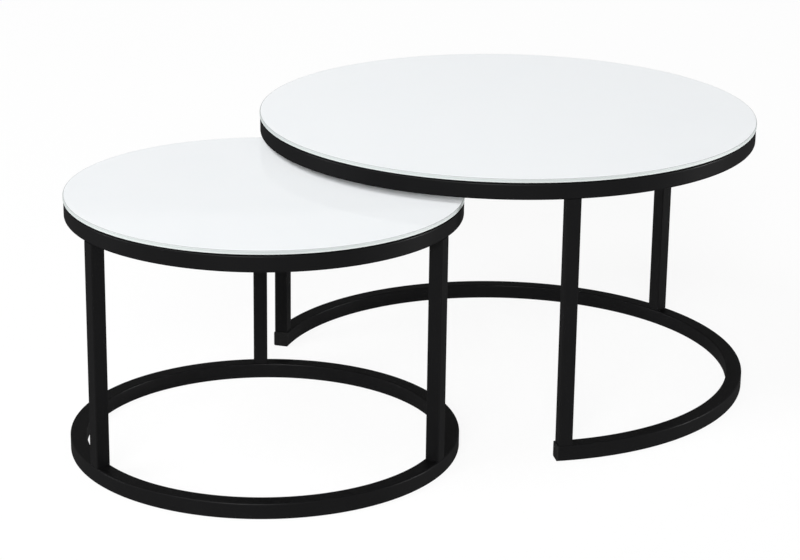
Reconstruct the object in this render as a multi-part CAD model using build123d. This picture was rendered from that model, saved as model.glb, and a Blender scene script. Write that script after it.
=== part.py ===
from build123d import *

import math
import os

# Two round coffee tables, the smaller one standing part way under the larger one.
# Millimetres and degrees. +Z is up, the floor is Z = 0, and +X points from the small table to the large one.

# Glass tops
large_glass_diameter = 800.0
small_glass_diameter = 600.0
glass_thickness = 6.0
glass_edge_radius = 1.5
glass_overhang = 1.0

# Height of the large table, how both are turned, and where the small one stands under it
large_height = 449.0
large_table_angle = 1.5
small_table_angle = 54.0
nest_clearance = 11.0
centre_distance = 495.0

# Square tube of the two top rings, the closed base ring and the open base arc
ring_width = 25.0
ring_wall = 1.5
ring_corner = 2.5

# Square tube of the legs
leg_width = 22.0
leg_wall = 1.5
leg_corner = 2.0
leg_setback = 0.5
least_inner_corner = 0.3

# Threaded blocks pressed into both ends of every leg
insert_length = 22.0
insert_clearance = 0.1

# Socket screws and washers that hold the legs to the rings
screw_diameter = 6.0
screw_length = 18.0
screw_tip_chamfer = 0.8
thread_clearance = 0.1
screw_hole_clearance = 0.3
head_diameter = 10.5
head_height = 3.3
head_rounding = 1.2
socket_across_flats = 4.0
socket_depth = 2.0
washer_diameter = 12.0
washer_thickness = 1.2
access_clearance = 1.0

# Plastic glides pushed into the access holes under the base tubes
glide_diameter = 16.0
glide_height = 0.8
glide_rounding = 0.3
glide_stem_length = 6.0
glide_stem_wall = 2.0
glide_stem_clearance = 0.15

# Clear pads between the top rings and the glass
bumper_diameter = 12.0
bumper_height = 1.5
bumper_chamfer = 0.3
bumpers_between_legs = 2

# Plugs that close the two ends of the open base arc
cap_flange = 2.0
cap_tongue_length = 14.0
cap_tongue_clearance = 0.1
cap_screw_clearance = 0.5

# Legs by name, in equal steps round each table
leg_names = ["back", "left", "right"]
full_turn = 360.0
leg_step = full_turn / len(leg_names)

# Levels that both tables share, and the small table's height, which clears the large top ring
base_bottom = glide_height
base_top = base_bottom + ring_width
top_stack = ring_width + bumper_height + glass_thickness
small_height = large_height - top_stack - nest_clearance

# The pair is centred on the origin along X
large_glass_radius = large_glass_diameter / 2
small_glass_radius = small_glass_diameter / 2
pair_length = small_glass_radius + centre_distance + large_glass_radius
small_centre = Pos(small_glass_radius - pair_length / 2, 0, 0)
large_centre = Pos(pair_length / 2 - large_glass_radius, 0, 0)

access_diameter = washer_diameter + 2 * access_clearance
screw_hole_diameter = screw_diameter + 2 * screw_hole_clearance
thread_hole_diameter = screw_diameter + 2 * thread_clearance

# The legs' outer faces lie just behind the rings', so leg and screw axes lie off the middle of the ring tube
leg_offset = ring_width / 2 - leg_setback - leg_width / 2


def disc(diameter, height, bottom=0.0):
    """A round plate that stands on the level named bottom."""
    return Pos(0, 0, bottom) * Cylinder(diameter / 2, height, align=(Align.CENTER, Align.CENTER, Align.MIN))


def on_circle(radius, angle, level):
    """A place on a circle about the table's axis, turned so that its X points outwards."""
    return Rot(0, 0, angle) * Pos(radius, 0, level)


def square(width, corner):
    """A square with rounded corners."""
    return RectangleRounded(width, width, corner)


def inner_width(width, wall):
    """The clear width inside a square tube."""
    return width - 2 * wall


def inner_corner(corner, wall):
    """The corner radius inside a square tube, never quite sharp."""
    return max(corner - wall, least_inner_corner)


def tube_section(width, wall, corner):
    """The wall of a square tube, as a flat shape."""
    return square(width, corner) - square(inner_width(width, wall), inner_corner(corner, wall))


def swept(section, radius, level, start, span):
    """A flat shape carried round the table's axis from one angle through a span."""
    placed = Plane.XZ * Pos(radius, level) * section
    return Rot(0, 0, start) * revolve(placed, Axis.Z, span)


def group(solid, radius, angles, level):
    """Like pieces at the same level round the table, kept as separate solids in one node."""
    return Compound(children=[on_circle(radius, angle, level) * solid for angle in angles])


def screw():
    """A button-head socket screw, head below Z = 0 and shank above it."""
    head = disc(head_diameter, head_height, -head_height)
    lower_rim = head.edges().filter_by(GeomType.CIRCLE).sort_by(Axis.Z)[0]
    head = fillet(lower_rim, head_rounding)
    shank = disc(screw_diameter, screw_length)
    tip = shank.edges().filter_by(GeomType.CIRCLE).sort_by(Axis.Z)[-1]
    shank = chamfer(tip, screw_tip_chamfer)
    key_circle = socket_across_flats / 2 / math.cos(math.pi / 6)
    socket = Pos(0, 0, -head_height) * extrude(RegularPolygon(key_circle, 6), socket_depth)
    return head + shank - socket


def washer():
    """A plain washer that lies on Z = 0."""
    return disc(washer_diameter, washer_thickness) - disc(screw_hole_diameter, washer_thickness)


def insert_block():
    """A threaded block that stands on Z = 0 and fills the end of a leg."""
    width = inner_width(leg_width, leg_wall) - 2 * insert_clearance
    block = extrude(square(width, inner_corner(leg_corner, leg_wall)), insert_length)
    return block - disc(thread_hole_diameter, insert_length)


def glide():
    """A floor glide: a rounded foot on the floor and a hollow stem that grips the access hole."""
    foot = disc(glide_diameter, glide_height)
    lower_rim = foot.edges().filter_by(GeomType.CIRCLE).sort_by(Axis.Z)[0]
    foot = fillet(lower_rim, glide_rounding)
    stem_diameter = access_diameter - 2 * glide_stem_clearance
    stem = disc(stem_diameter, glide_stem_length, glide_height)
    hollow = disc(stem_diameter - 2 * glide_stem_wall, glide_stem_length, glide_height)
    return foot + (stem - hollow)


def bumper():
    """A clear pad with a softened upper rim, standing on Z = 0."""
    pad = disc(bumper_diameter, bumper_height)
    upper_rim = pad.edges().filter_by(GeomType.CIRCLE).sort_by(Axis.Z)[-1]
    return chamfer(upper_rim, bumper_chamfer)


def glass_top(diameter, height):
    """A round pane with a ground, rounded edge, its upper face at the table's height."""
    pane = disc(diameter, glass_thickness, height - glass_thickness)
    return fillet(pane.edges().filter_by(GeomType.CIRCLE), glass_edge_radius)


def drilled(tube, radius, angles, level, small_hole_on_top):
    """A ring tube with a screw hole through one wall and a wider access hole through the other."""
    lower = screw_hole_diameter
    upper = access_diameter
    if small_hole_on_top:
        lower, upper = upper, lower
    for angle in angles:
        tube -= on_circle(radius, angle, level) * disc(lower, ring_width / 2)
        tube -= on_circle(radius, angle, level) * disc(upper, ring_width / 2, ring_width / 2)
    return tube


def arc_cap(radius, end_angle, outward):
    """A plug for one end of the base arc: a flange on the tube's end and two tongues along the side walls."""
    level = base_bottom + ring_width / 2
    flange_span = math.degrees(cap_flange / radius)
    tongue_span = math.degrees(cap_tongue_length / radius)
    tongue_outside = inner_width(ring_width, ring_wall) / 2 - cap_tongue_clearance
    tongue_inside = access_diameter / 2 + abs(leg_offset) + cap_screw_clearance
    tongue_height = inner_width(ring_width, ring_wall) - 2 * inner_corner(ring_corner, ring_wall)
    tongue = Rectangle(tongue_outside - tongue_inside, tongue_height)
    tongue_middle = (tongue_outside + tongue_inside) / 2
    flange_start = end_angle if outward else end_angle - flange_span
    tongue_start = end_angle - tongue_span if outward else end_angle
    cap = swept(square(ring_width, ring_corner), radius, level, flange_start, flange_span)
    for side in (-1, 1):
        cap += swept(tongue, radius + side * tongue_middle, level, tongue_start, tongue_span)
    return cap


def table(name, glass_diameter, height, first_angle, open_base):
    """Every node of one table, standing on the floor with its axis on Z."""
    nodes = {}
    radius = glass_diameter / 2 - glass_overhang - ring_width / 2
    leg_radius = radius + leg_offset
    angles = [first_angle + leg_step * number for number in range(len(leg_names))]
    ring_bottom = height - top_stack
    ring_top = ring_bottom + ring_width
    leg_length = ring_bottom - base_top
    ring_section = tube_section(ring_width, ring_wall, ring_corner)

    nodes["glass_top"] = glass_top(glass_diameter, height)

    bumper_step = leg_step / bumpers_between_legs
    bumper_count = len(leg_names) * bumpers_between_legs
    bumper_angles = [first_angle + bumper_step * (number + 0.5) for number in range(bumper_count)]
    nodes["glass_bumpers"] = group(bumper(), radius, bumper_angles, ring_top)

    top_ring = swept(ring_section, radius, ring_bottom + ring_width / 2, 0, full_turn)
    nodes["top_ring"] = drilled(top_ring, leg_radius, angles, ring_bottom, False)

    leg_tube = extrude(tube_section(leg_width, leg_wall, leg_corner), leg_length)
    for leg_name, angle in zip(leg_names, angles):
        nodes[leg_name + "_leg"] = on_circle(leg_radius, angle, base_top) * leg_tube

    nodes["leg_top_inserts"] = group(insert_block(), leg_radius, angles, ring_bottom - insert_length)
    nodes["leg_base_inserts"] = group(insert_block(), leg_radius, angles, base_top)

    top_seat = ring_bottom + ring_wall
    nodes["top_washers"] = group(washer(), leg_radius, angles, top_seat)
    nodes["top_screws"] = group(Rot(180, 0, 0) * screw(), leg_radius, angles, top_seat + washer_thickness)

    base_seat = base_top - ring_wall - washer_thickness
    nodes["base_washers"] = group(washer(), leg_radius, angles, base_seat)
    nodes["base_screws"] = group(screw(), leg_radius, angles, base_seat)

    base_level = base_bottom + ring_width / 2
    if open_base:
        arc_end = leg_step + math.degrees(leg_width / 2 / radius)
        base = swept(ring_section, radius, base_level, first_angle - arc_end, 2 * arc_end)
        nodes["base_arc"] = drilled(base, leg_radius, angles, base_bottom, True)
        nodes["left_arc_cap"] = arc_cap(radius, first_angle + arc_end, True)
        nodes["right_arc_cap"] = arc_cap(radius, first_angle - arc_end, False)
    else:
        base = swept(ring_section, radius, base_level, 0, full_turn)
        nodes["base_ring"] = drilled(base, leg_radius, angles, base_bottom, True)

    nodes["floor_glides"] = group(glide(), leg_radius, angles, 0)
    return {name + "_" + node: shape for node, shape in nodes.items()}


large_nodes = table("large", large_glass_diameter, large_height, large_table_angle, True)
small_nodes = table("small", small_glass_diameter, small_height, small_table_angle, False)

os.makedirs("parts", exist_ok=True)
for centre, nodes in ((large_centre, large_nodes), (small_centre, small_nodes)):
    for node, shape in nodes.items():
        export_step(centre * shape, "parts/" + node + ".step")
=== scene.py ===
import math

import bmesh
import bpy
from mathutils import Matrix, Vector


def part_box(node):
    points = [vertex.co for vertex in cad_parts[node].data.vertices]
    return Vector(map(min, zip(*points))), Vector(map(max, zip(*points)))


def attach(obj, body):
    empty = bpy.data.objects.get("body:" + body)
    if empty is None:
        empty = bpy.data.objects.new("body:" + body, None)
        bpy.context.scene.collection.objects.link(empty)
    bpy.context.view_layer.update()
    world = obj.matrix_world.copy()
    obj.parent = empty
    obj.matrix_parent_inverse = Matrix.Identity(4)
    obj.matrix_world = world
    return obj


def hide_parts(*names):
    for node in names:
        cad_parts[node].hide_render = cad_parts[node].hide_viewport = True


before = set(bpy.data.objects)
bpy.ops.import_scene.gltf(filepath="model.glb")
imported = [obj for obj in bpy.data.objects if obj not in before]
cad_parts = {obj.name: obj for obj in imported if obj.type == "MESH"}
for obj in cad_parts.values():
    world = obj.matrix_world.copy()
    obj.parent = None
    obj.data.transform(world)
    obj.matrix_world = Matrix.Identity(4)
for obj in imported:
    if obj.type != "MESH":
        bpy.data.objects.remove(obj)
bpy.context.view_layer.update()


# Base tubes: the small table stands on a closed ring, the large one on an arc that is open at one side.
# Both are square steel tube, bent to a circle, ground smooth and powder-coated with satin black lacquer.
# The lacquer has flowed out to a fine orange peel and carries a little settled dust.

def add_node(tree, kind, inputs=(), **options):
    """Adds one shader node, with its options and with a value or another node's socket at each input."""
    node = tree.nodes.new("ShaderNode" + kind)
    for option, value in options.items():
        setattr(node, option, value)
    for name, value in dict(inputs).items():
        if isinstance(value, bpy.types.NodeSocket):
            tree.links.new(value, node.inputs[name])
        else:
            node.inputs[name].default_value = value
    return node


fine_detail = 2.0
cloudy_detail = 4.0


def noise(tree, place, feature_size, detail=fine_detail):
    """A soft noise from 0 to 1 whose patches are about as wide as feature_size, in metres."""
    settings = {"Vector": place, "Scale": 1 / feature_size, "Detail": detail}
    return add_node(tree, "TexNoise", settings).outputs["Fac"]


noise_middle = (0.3, 0.7)
unit = (0.0, 1.0)


def spread(tree, value, to_range, from_range=noise_middle):
    """Maps a value, by default the middle of a noise, from one range to another."""
    settings = {"Value": value, "From Min": from_range[0], "From Max": from_range[1]}
    settings.update({"To Min": to_range[0], "To Max": to_range[1]})
    return add_node(tree, "MapRange", settings).outputs["Result"]


def product(tree, first, second):
    """Two values multiplied."""
    return add_node(tree, "Math", {0: first, 1: second}, operation="MULTIPLY").outputs[0]


opaque = 1.0


def between(tree, mask, first, second):
    """A colour between two colours, by a mask. Either colour may be another node's socket."""
    mix = add_node(tree, "Mix", data_type="RGBA")
    tree.links.new(mask, mix.inputs["Factor"])
    for socket, colour in zip((s for s in mix.inputs if s.type == "RGBA"), (first, second)):
        if isinstance(colour, bpy.types.NodeSocket):
            tree.links.new(colour, socket)
        else:
            socket.default_value = (*colour, opaque)
    return next(s for s in mix.outputs if s.type == "RGBA")


def new_material(name, **constants):
    """A material with a Principled shader, whose plain values are set on its own sockets."""
    material = bpy.data.materials.new(name)
    material.use_nodes = True
    shader = material.node_tree.nodes["Principled BSDF"]
    for label, value in constants.items():
        shader.inputs[label.replace("_", " ")].default_value = value
    return material, material.node_tree, shader


def bump(tree, height, depth, shader, *labels):
    """Lets a height from 0 to 1, worth depth metres, shape the normals that the labels name."""
    node = add_node(tree, "Bump", {"Height": height, "Strength": 1.0, "Distance": depth})
    for label in labels:
        tree.links.new(node.outputs["Normal"], shader.inputs[label])


# Settled dust: specks that lie on faces turned upwards, thinner in broad patches
dust_colour = (0.10, 0.098, 0.092)
dust_speck_size = 0.0016
dust_speck_range = (0.5, 0.75)
dust_drift_size = 0.05
dust_drift_share = (0.2, 1.0)
dust_slope_range = (0.5, 0.95)
settled_dust = bpy.data.node_groups.new("settled_dust", "ShaderNodeTree")
settled_dust.interface.new_socket("Amount", in_out="INPUT", socket_type="NodeSocketFloat")
settled_dust.interface.new_socket("Dust", in_out="OUTPUT", socket_type="NodeSocketFloat")
dust_in = settled_dust.nodes.new("NodeGroupInput")
dust_out = settled_dust.nodes.new("NodeGroupOutput")
dust_place = add_node(settled_dust, "TexCoord").outputs["Object"]
dust_normal = add_node(settled_dust, "NewGeometry").outputs["Normal"]
dust_slope = add_node(settled_dust, "SeparateXYZ", {"Vector": dust_normal}).outputs["Z"]
dust_specks = spread(settled_dust, noise(settled_dust, dust_place, dust_speck_size), unit, dust_speck_range)
dust_drift = spread(settled_dust, noise(settled_dust, dust_place, dust_drift_size), dust_drift_share)
dust_on_top = spread(settled_dust, dust_slope, unit, dust_slope_range)
dust_lying = product(settled_dust, product(settled_dust, dust_specks, dust_drift), dust_on_top)
dust_share = product(settled_dust, dust_lying, dust_in.outputs["Amount"])
settled_dust.links.new(dust_share, dust_out.inputs["Dust"])


def dusted(tree, colour, amount):
    """A colour with an amount of settled dust on it."""
    node = tree.nodes.new("ShaderNodeGroup")
    node.node_tree = settled_dust
    node.inputs["Amount"].default_value = amount
    return between(tree, node.outputs["Dust"], colour, dust_colour)


# The lacquer: a fine ripple, and a slow change of tone and gloss over a hand's width
lacquer_dark = (0.0028, 0.0028, 0.0030)
lacquer_worn = (0.0041, 0.0041, 0.0043)
lacquer_dust = 0.06
lacquer_gloss = (0.058, 0.044)
lacquer_roughness = (0.46, 0.56)
lacquer_patch_size = 0.07
lacquer_ripple_size = 0.0016
lacquer_ripple_depth = 0.00002
black_lacquer, lacquer_tree, lacquer = new_material(
    "black_lacquer", Specular_IOR_Level=0.0, Coat_IOR=1.8, Coat_Roughness=0.36)
lacquer_place = add_node(lacquer_tree, "TexCoord").outputs["Object"]
lacquer_patches = noise(lacquer_tree, lacquer_place, lacquer_patch_size, cloudy_detail)
lacquer_ripple = noise(lacquer_tree, lacquer_place, lacquer_ripple_size)
lacquer_wear = spread(lacquer_tree, lacquer_patches, unit)
lacquer_tone = between(lacquer_tree, lacquer_wear, lacquer_dark, lacquer_worn)
lacquer_tree.links.new(dusted(lacquer_tree, lacquer_tone, lacquer_dust), lacquer.inputs["Base Color"])
lacquer_tree.links.new(spread(lacquer_tree, lacquer_ripple, lacquer_roughness), lacquer.inputs["Roughness"])
lacquer_tree.links.new(spread(lacquer_tree, lacquer_patches, lacquer_gloss), lacquer.inputs["Coat Weight"])
bump(lacquer_tree, lacquer_ripple, lacquer_ripple_depth, lacquer, "Normal", "Coat Normal")


def direction(angle):
    """The flat unit vector at an angle."""
    return Vector((math.cos(angle), math.sin(angle)))


def rounded(middle, radius, start, steps):
    """Points of a quarter circle in a flat outline, counter-clockwise from its first angle."""
    turns = [start + math.pi / 2 * number / steps for number in range(steps + 1)]
    return [middle + radius * direction(turn) for turn in turns]


full_circle_steps = 300
crease_angle = math.radians(40)


def finished_piece(name, mesh, materials):
    """A new object from mesh code, shaded smooth apart from its creases."""
    bmesh.ops.recalc_face_normals(mesh, faces=mesh.faces)
    data = bpy.data.meshes.new(name)
    mesh.to_mesh(data)
    mesh.free()
    data.shade_smooth()
    data.set_sharp_from_angle(angle=crease_angle)
    for material in materials:
        data.materials.append(material)
    piece = bpy.data.objects.new(name, data)
    bpy.context.scene.collection.objects.link(piece)
    return piece


tube_width = 0.025
tube_corner = 0.0025
tube_corners = 4
tube_corner_steps = 6
tube_flat_margin = 0.0004


def tube_outline():
    """The square tube's outline. Points close to each corner keep the flat sides flat in the light."""
    points = []
    for start in (math.pi / 2 * corner for corner in range(tube_corners)):
        middle = (tube_width / 2 - tube_corner) * math.sqrt(2) * direction(start + math.pi / 4)
        corner_points = rounded(middle, tube_corner, start, tube_corner_steps)
        ahead = direction(start + math.pi / 2)
        points.append(corner_points[0] - tube_flat_margin * ahead)
        points.extend(corner_points)
        points.append(corner_points[-1] + tube_flat_margin * direction(start + math.pi))
    return points


def tube_axis(node):
    """The axis, outer radius and middle level of a tube bent round at least the +X and both Y sides."""
    low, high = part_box(node)
    outer_radius = (high.y - low.y) / 2
    return Vector((high.x - outer_radius, (low.y + high.y) / 2)), outer_radius, (low.z + high.z) / 2


def bent_tube(name, table, node, start=0.0, span=2 * math.pi):
    """Bends the square tube round a table's axis, in the place of a CAD node, and lacquers it."""
    axis, outer_radius, level = tube_axis(node)
    closed = math.isclose(span, 2 * math.pi)
    steps = round(full_circle_steps * span / (2 * math.pi))
    outline = tube_outline()
    mesh = bmesh.new()
    loops = []
    for number in range(steps if closed else steps + 1):
        outwards = direction(start + span * number / steps)
        places = [axis + (outer_radius - tube_width / 2 + point.x) * outwards for point in outline]
        loops.append([mesh.verts.new((*place, level + point.y)) for place, point in zip(places, outline)])
    following = loops[1:] + loops[:1] if closed else loops[1:]
    for near, far in zip(loops, following):
        for number in range(len(near)):
            mesh.faces.new((near[number - 1], near[number], far[number], far[number - 1]))
    if not closed:
        mesh.faces.new(loops[0])
        mesh.faces.new(loops[-1])
    piece = finished_piece(name, mesh, [black_lacquer])
    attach(piece, f"{table}_table")
    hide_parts(node)


def bearing(node, axis):
    """The angle at which a node stands round a table's axis."""
    low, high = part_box(node)
    away = ((low + high) / 2).xy - axis
    return math.atan2(away.y, away.x)


# The arc ends level with the outer sides of the two legs at its ends
leg_half_width = 0.011
arc_axis, arc_outer_radius = tube_axis("large_base_arc")[:2]
arc_overrun = leg_half_width / (arc_outer_radius - tube_width / 2)
arc_start = bearing("large_right_leg", arc_axis) - arc_overrun
arc_end = bearing("large_left_leg", arc_axis) + arc_overrun
bent_tube("large_base_tube", "large", "large_base_arc", arc_start, arc_end - arc_start)
bent_tube("small_base_tube", "small", "small_base_ring")


# Arc caps: two plugs of moulded black plastic, pushed into the open ends of the large table's base arc.
# A flange closes the tube's end and two tongues grip its side walls. The mould left a fine even grain.

def coat(material, *nodes):
    """Gives CAD nodes a finish."""
    for name in nodes:
        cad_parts[name].data.materials.clear()
        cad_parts[name].data.materials.append(material)


plastic_dark = (0.006, 0.006, 0.006)
plastic_pale = (0.012, 0.012, 0.012)
plastic_dust = 0.1
plastic_gloss = (0.05, 0.03)
plastic_roughness = (0.42, 0.58)
plastic_grain_size = 0.0005
plastic_grain_depth = 0.00003
black_plastic, plastic_tree, plastic = new_material(
    "black_plastic", Specular_IOR_Level=0.0, Coat_IOR=1.8, Coat_Roughness=0.4)
plastic_place = add_node(plastic_tree, "TexCoord").outputs["Object"]
plastic_grain = noise(plastic_tree, plastic_place, plastic_grain_size)
plastic_tone = between(plastic_tree, spread(plastic_tree, plastic_grain, unit), plastic_dark, plastic_pale)
plastic_tree.links.new(dusted(plastic_tree, plastic_tone, plastic_dust), plastic.inputs["Base Color"])
plastic_tree.links.new(spread(plastic_tree, plastic_grain, plastic_roughness), plastic.inputs["Roughness"])
plastic_tree.links.new(spread(plastic_tree, plastic_grain, plastic_gloss), plastic.inputs["Coat Weight"])
bump(plastic_tree, plastic_grain, plastic_grain_depth, plastic, "Normal", "Coat Normal")
coat(black_plastic, "large_left_arc_cap", "large_right_arc_cap")


# Floor glides: three under each table, of the same moulded plastic, each a flat foot on a hollow stem.
# The stem is pushed into the access hole under the base tube, below the screw.

coat(black_plastic, "large_floor_glides", "small_floor_glides")


# Screws and washers: socket screws and plain washers of zinc-plated steel that hold the legs to both rings.
# They sit inside the tubes, over the access holes. The plating is bright, cloudy and slightly blue.

zinc_bright = (0.66, 0.67, 0.69)
zinc_cloudy = (0.47, 0.48, 0.49)
zinc_roughness = (0.24, 0.42)
zinc_cloud_size = 0.003
zinc_grain_size = 0.0003
zinc_grain_depth = 0.00001
zinc_steel, zinc_tree, zinc = new_material("zinc_steel", Metallic=1.0)
zinc_place = add_node(zinc_tree, "TexCoord").outputs["Object"]
zinc_clouds = noise(zinc_tree, zinc_place, zinc_cloud_size, cloudy_detail)
zinc_tone = between(zinc_tree, spread(zinc_tree, zinc_clouds, unit), zinc_bright, zinc_cloudy)
zinc_tree.links.new(zinc_tone, zinc.inputs["Base Color"])
zinc_tree.links.new(spread(zinc_tree, zinc_clouds, zinc_roughness), zinc.inputs["Roughness"])
bump(zinc_tree, noise(zinc_tree, zinc_place, zinc_grain_size), zinc_grain_depth, zinc, "Normal")
tables = ("large", "small")
for table in tables:
    for level in ("base", "top"):
        coat(zinc_steel, f"{table}_{level}_washers", f"{table}_{level}_screws")


# Leg inserts: threaded blocks of glass-filled nylon, pressed into both ends of every leg.
# The screws bite into them. Pale fibre ends show at the surface as short flecks.

nylon_dark = (0.016, 0.016, 0.017)
nylon_fleck = (0.06, 0.06, 0.058)
nylon_roughness = (0.45, 0.6)
nylon_fleck_size = 0.0009
nylon_fleck_range = (0.55, 0.7)
nylon_fleck_depth = 0.00004
insert_nylon, nylon_tree, nylon = new_material("insert_nylon", Specular_IOR_Level=0.35)
nylon_place = add_node(nylon_tree, "TexCoord").outputs["Object"]
nylon_flecks = spread(nylon_tree, noise(nylon_tree, nylon_place, nylon_fleck_size), unit, nylon_fleck_range)
nylon_tree.links.new(between(nylon_tree, nylon_flecks, nylon_dark, nylon_fleck), nylon.inputs["Base Color"])
nylon_tree.links.new(spread(nylon_tree, nylon_flecks, nylon_roughness, unit), nylon.inputs["Roughness"])
bump(nylon_tree, nylon_flecks, nylon_fleck_depth, nylon, "Normal")
for table in tables:
    coat(insert_nylon, f"{table}_leg_top_inserts", f"{table}_leg_base_inserts")


# Legs: three straight square steel tubes under each top ring, cut square, with small rounded corners.
# They stand between the two rings, one side just behind the rings' outer face, in the same black lacquer.

for table in tables:
    coat(black_lacquer, f"{table}_back_leg", f"{table}_left_leg", f"{table}_right_leg")


# Top rings: the same square tube as the base, bent to a full circle, a little smaller than the glass.
# Screws go down through the lower wall into the legs, and the glass lies over the access holes above.

for table in tables:
    bent_tube(f"{table}_top_tube", table, f"{table}_top_ring")


# Glass bumpers: six clear silicone pads on each top ring, which hold the glass just off the steel.
# They are cut from soft clear sheet with a softened rim, and stick to the lacquer by themselves.

silicone_clear = (0.93, 0.94, 0.94)
silicone_cloudy = (0.84, 0.86, 0.86)
silicone_roughness = (0.22, 0.36)
silicone_cloud_size = 0.004
clear_silicone, silicone_tree, silicone = new_material("clear_silicone", Transmission_Weight=0.8, IOR=1.41)
silicone_place = add_node(silicone_tree, "TexCoord").outputs["Object"]
silicone_clouds = noise(silicone_tree, silicone_place, silicone_cloud_size)
silicone_mask = spread(silicone_tree, silicone_clouds, unit)
silicone_tone = between(silicone_tree, silicone_mask, silicone_clear, silicone_cloudy)
silicone_tree.links.new(silicone_tone, silicone.inputs["Base Color"])
silicone_haze = spread(silicone_tree, silicone_clouds, silicone_roughness)
silicone_tree.links.new(silicone_haze, silicone.inputs["Roughness"])
coat(clear_silicone, "large_glass_bumpers", "small_glass_bumpers")


# Glass tops: a round pane of float glass on each table, with a ground edge that is rounded off.
# The underside is sprayed with white lacquer, so the pane is white from above and pale green at its rim.
# The pane lies loose on the bumpers.

def turned(name, profile, axis, materials):
    """A closed piece turned about a vertical axis, from (radius, height, finish) points, axis to axis."""
    mesh = bmesh.new()
    loops = []
    for radius, height, _ in profile:
        count = full_circle_steps if radius else 1
        around = [direction(2 * math.pi * number / full_circle_steps) for number in range(count)]
        loops.append([mesh.verts.new((*(axis + radius * outwards), height)) for outwards in around])
    for inner, outer, (_, _, finish) in zip(loops, loops[1:], profile):
        for number in range(full_circle_steps):
            ends = (number, (number + 1) % full_circle_steps)
            corners = [inner[end % len(inner)] for end in ends]
            corners += [outer[end % len(outer)] for end in reversed(ends)]
            mesh.faces.new(list(dict.fromkeys(corners))).material_index = finish
    return finished_piece(name, mesh, materials)


def ramp(tree, value, stops):
    """A colour that runs through (place, colour) stops."""
    node = add_node(tree, "ValToRGB", {"Fac": value})
    elements = node.color_ramp.elements
    for number, (place, colour) in enumerate(stops):
        element = elements[number] if number < len(elements) else elements.new(place)
        element.position = place
        element.color = (*colour, opaque)
    return node.outputs["Color"]


# The face: white lacquer seen through polished glass, with broad faint smudges where hands have been
face_white = (0.845, 0.865, 0.88)
face_clouded = (0.83, 0.852, 0.868)
face_dust = 0.02
face_gloss = (0.22, 0.15)
smudge_size = 0.06
smudge_range = (0.45, 0.7)
glass_face, face_tree, face = new_material(
    "white_glass_face", Specular_IOR_Level=0.0, Roughness=0.5, Coat_IOR=1.52, Coat_Roughness=0.03)
face_place = add_node(face_tree, "TexCoord").outputs["Object"]
face_clouds = noise(face_tree, face_place, smudge_size, cloudy_detail)
face_smudges = spread(face_tree, face_clouds, unit, smudge_range)
face_tone = between(face_tree, face_smudges, face_white, face_clouded)
face_tree.links.new(dusted(face_tree, face_tone, face_dust), face.inputs["Base Color"])
face_tree.links.new(spread(face_tree, face_smudges, face_gloss, unit), face.inputs["Coat Weight"])

# The rim: a finely ground edge, pale green in its depth. It is lighter near the lacquer and at the upper
# face by painted light: the white backing is painted in as if seen through the glass, and the upper edge
# carries a painted highlight.
# Its colours run from the lower edge to the upper one, by their share of the pane's thickness.
rim_green_with_painted_light = [
    (0.0, (0.53, 0.55, 0.545)),
    (0.3, (0.37, 0.397, 0.391)),
    (0.7, (0.29, 0.315, 0.31)),
    (1.0, (0.35, 0.368, 0.365)),
]
rim_roughness = (0.35, 0.55)
rim_gloss = (0.85, 1.0)
rim_grain_size = 0.0006
rim_grain_depth = 0.00001
glass_rim, rim_tree, rim = new_material(
    "white_glass_rim", Specular_IOR_Level=0.0, Coat_IOR=1.52, Coat_Roughness=0.6)
rim_shares = add_node(rim_tree, "TexCoord").outputs["Generated"]
rim_height = add_node(rim_tree, "SeparateXYZ", {"Vector": rim_shares}).outputs["Z"]
rim_place = add_node(rim_tree, "TexCoord").outputs["Object"]
rim_grain = noise(rim_tree, rim_place, rim_grain_size)
rim_tree.links.new(ramp(rim_tree, rim_height, rim_green_with_painted_light), rim.inputs["Base Color"])
rim_tree.links.new(spread(rim_tree, rim_grain, rim_roughness), rim.inputs["Roughness"])
rim_tree.links.new(spread(rim_tree, rim_grain, rim_gloss), rim.inputs["Coat Weight"])
bump(rim_tree, rim_grain, rim_grain_depth, rim, "Normal")

# The underside: the back of the sprayed lacquer, matt and slightly uneven
paint_white = (0.84, 0.845, 0.84)
paint_thin = (0.80, 0.81, 0.805)
paint_roughness = (0.45, 0.6)
paint_cloud_size = 0.08
paint_grain_size = 0.002
paint_grain_depth = 0.00003
glass_back, paint_tree, paint = new_material("white_glass_back", Specular_IOR_Level=0.3)
paint_place = add_node(paint_tree, "TexCoord").outputs["Object"]
paint_clouds = noise(paint_tree, paint_place, paint_cloud_size, cloudy_detail)
paint_tone = between(paint_tree, spread(paint_tree, paint_clouds, unit), paint_white, paint_thin)
paint_tree.links.new(paint_tone, paint.inputs["Base Color"])
paint_tree.links.new(spread(paint_tree, paint_clouds, paint_roughness), paint.inputs["Roughness"])
bump(paint_tree, noise(paint_tree, paint_place, paint_grain_size), paint_grain_depth, paint, "Normal")

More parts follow.
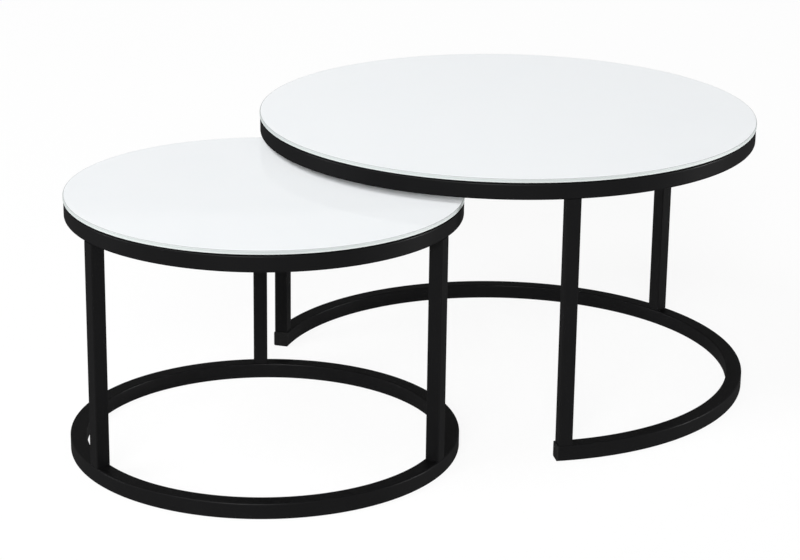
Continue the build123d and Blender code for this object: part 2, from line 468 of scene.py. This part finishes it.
glass_edge_radius = 0.0015
glass_edge_steps = 8
glass_edge_margin = 0.001
flat_loop_shares = (0.0, 0.3, 0.6, 0.85)
glass_finishes = [glass_face, glass_rim, glass_back]
on_face, on_rim, on_back = range(len(glass_finishes))
for table in tables:
    low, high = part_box(f"{table}_glass_top")
    axis = ((low + high) / 2).xy
    radius = (high.x - low.x) / 2
    flat_radius = radius - glass_edge_radius
    flat_loops = [share * radius for share in flat_loop_shares] + [flat_radius - glass_edge_margin]
    lower_middle = Vector((flat_radius, low.z + glass_edge_radius))
    upper_middle = Vector((flat_radius, high.z - glass_edge_radius))
    lower_edge = rounded(lower_middle, glass_edge_radius, -math.pi / 2, glass_edge_steps)
    upper_edge = rounded(upper_middle, glass_edge_radius, 0.0, glass_edge_steps)
    profile = [(loop, low.z, on_back) for loop in flat_loops]
    profile += [(*point, on_rim) for point in lower_edge + upper_edge[:-1]]
    profile += [(*upper_edge[-1], on_face)]
    profile += [(loop, high.z, on_face) for loop in reversed(flat_loops)]
    pane = turned(f"{table}_glass_pane", profile, axis, glass_finishes)
    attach(pane, f"{table}_table")
    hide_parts(f"{table}_glass_top")


# Studio: a wide white floor and a white surround, which is a little greyer higher up.
# Both keep their white to the eye and in reflections, and the surround itself gives only a little light.
# The floor still takes the tables' soft shadow, because only a share of its white is its own.

floor_half_width = 9.0
floor_white = (0.95, 0.95, 0.95, opaque)
floor_own_white = 0.9
pure_white = (1.0, 1.0, 1.0, opaque)

floor_mesh = bpy.data.meshes.new("floor")
floor_signs = ((-1, -1), (1, -1), (1, 1), (-1, 1))
floor_corners = [(x * floor_half_width, y * floor_half_width, 0) for x, y in floor_signs]
floor_mesh.from_pydata(floor_corners, [], [range(len(floor_corners))])
floor = bpy.data.objects.new("floor", floor_mesh)
bpy.context.scene.collection.objects.link(floor)


def seen_directly(tree):
    """1 for rays of the camera and for rays mirrored or passed on by the object, otherwise 0."""
    path = add_node(tree, "LightPath").outputs
    pair = add_node(tree, "Math", {0: path["Is Camera Ray"], 1: path["Is Glossy Ray"]}, operation="MAXIMUM")
    every = {0: pair.outputs[0], 1: path["Is Transmission Ray"]}
    return add_node(tree, "Math", every, operation="MAXIMUM").outputs[0]


floor_paint = bpy.data.materials.new("floor_paint")
floor_paint.use_nodes = True
floor_tree = floor_paint.node_tree
floor_tree.nodes.clear()
floor_share = product(floor_tree, seen_directly(floor_tree), floor_own_white)
floor_lit = add_node(floor_tree, "BsdfDiffuse", {"Color": floor_white})
floor_own = add_node(floor_tree, "Emission", {"Color": pure_white, "Strength": 1.0})
floor_parts = {0: floor_share, 1: floor_lit.outputs[0], 2: floor_own.outputs[0]}
floor_mix = add_node(floor_tree, "MixShader", floor_parts)
add_node(floor_tree, "OutputMaterial", {"Surface": floor_mix.outputs[0]})
floor_mesh.materials.append(floor_paint)

surround_light = 0.12
surround_dimming = (1.0, 0.75)
surround_dimming_heights = (0.06, 0.3)
surround = bpy.data.worlds.new("surround")
surround.use_nodes = True
surround_tree = surround.node_tree
surround_back = surround_tree.nodes["Background"]
surround_back.inputs["Color"].default_value = pure_white
surround_direction = add_node(surround_tree, "TexCoord").outputs["Generated"]
surround_height = add_node(surround_tree, "SeparateXYZ", {"Vector": surround_direction}).outputs["Z"]
surround_look = spread(surround_tree, surround_height, surround_dimming, surround_dimming_heights)
surround_strength = spread(surround_tree, seen_directly(surround_tree), (surround_light, 1.0), unit)
surround_tree.links.new(surround_look, surround_strength.node.inputs["To Max"])
surround_tree.links.new(surround_strength, surround_back.inputs["Strength"])
bpy.context.scene.world = surround


# Lamps: a strong one low at the front, a panel low at each side, and a round softbox high at the left.
# The front lamp and the panels stand far off. They light both tops evenly, the panels mostly at the edges.
# The softbox stands nearer, so the tops fade a little from left to right.

def stand_lamp(lamp, heading, height):
    """Turns a lamp to shine on the tables from a heading and a height above the horizon, in degrees."""
    stand = bpy.data.objects.new(lamp.name, lamp)
    stand.rotation_euler = (math.pi / 2 - math.radians(height), 0, math.pi / 2 + math.radians(heading))
    bpy.context.scene.collection.objects.link(stand)
    return stand


# Far lamps by heading from +X, height above the horizon and breadth, in degrees, and by strength
far_lamps = {
    "low_front_lamp": (-140, 22, 25, 4.05),
    "right_panel": (-35, 1, 8, 4.0),
    "left_panel": (139, 1, 8, 1.6),
}
for name, (heading, height, breadth, strength) in far_lamps.items():
    lamp = bpy.data.lights.new(name, "SUN")
    lamp.angle = math.radians(breadth)
    lamp.energy = strength
    stand_lamp(lamp, heading, height)

softbox_heading = -185
softbox_height = 50
softbox_distance = 9.0
softbox_breadth = 4.0
softbox_strength = 1.67
softbox = bpy.data.lights.new("softbox", "AREA")
softbox.shape = "DISK"
softbox.size = softbox_breadth
softbox.energy = softbox_strength * math.pi * softbox_distance ** 2
softbox_stand = stand_lamp(softbox, softbox_heading, softbox_height)
softbox_stand.location = softbox_stand.rotation_euler.to_matrix() @ Vector((0, 0, softbox_distance))


# Camera: eye level above the tops, looking past the small table towards the large one.
# A long lens from about four metres, held a touch off level.

camera_place = (-2.4433, -2.79, 1.4395)
camera_heading = math.radians(49.107)
camera_dip = math.radians(18.468)
camera_roll = math.radians(0.79)
camera_film_width = 36.0
camera_lens = 110.12
camera_data = bpy.data.cameras.new("camera")
camera_data.sensor_width = camera_film_width
camera_data.lens = camera_lens
camera = bpy.data.objects.new("camera", camera_data)
matrix_size = 4
camera_turn = Matrix.Rotation(camera_heading - math.pi / 2, matrix_size, "Z")
camera_tilt = Matrix.Rotation(math.pi / 2 - camera_dip, matrix_size, "X")
camera_level = Matrix.Rotation(camera_roll, matrix_size, "Z")
camera.matrix_world = Matrix.Translation(camera_place) @ camera_turn @ camera_tilt @ camera_level
bpy.context.scene.collection.objects.link(camera)
bpy.context.scene.camera = camera
bpy.context.scene.view_settings.view_transform = "Standard"
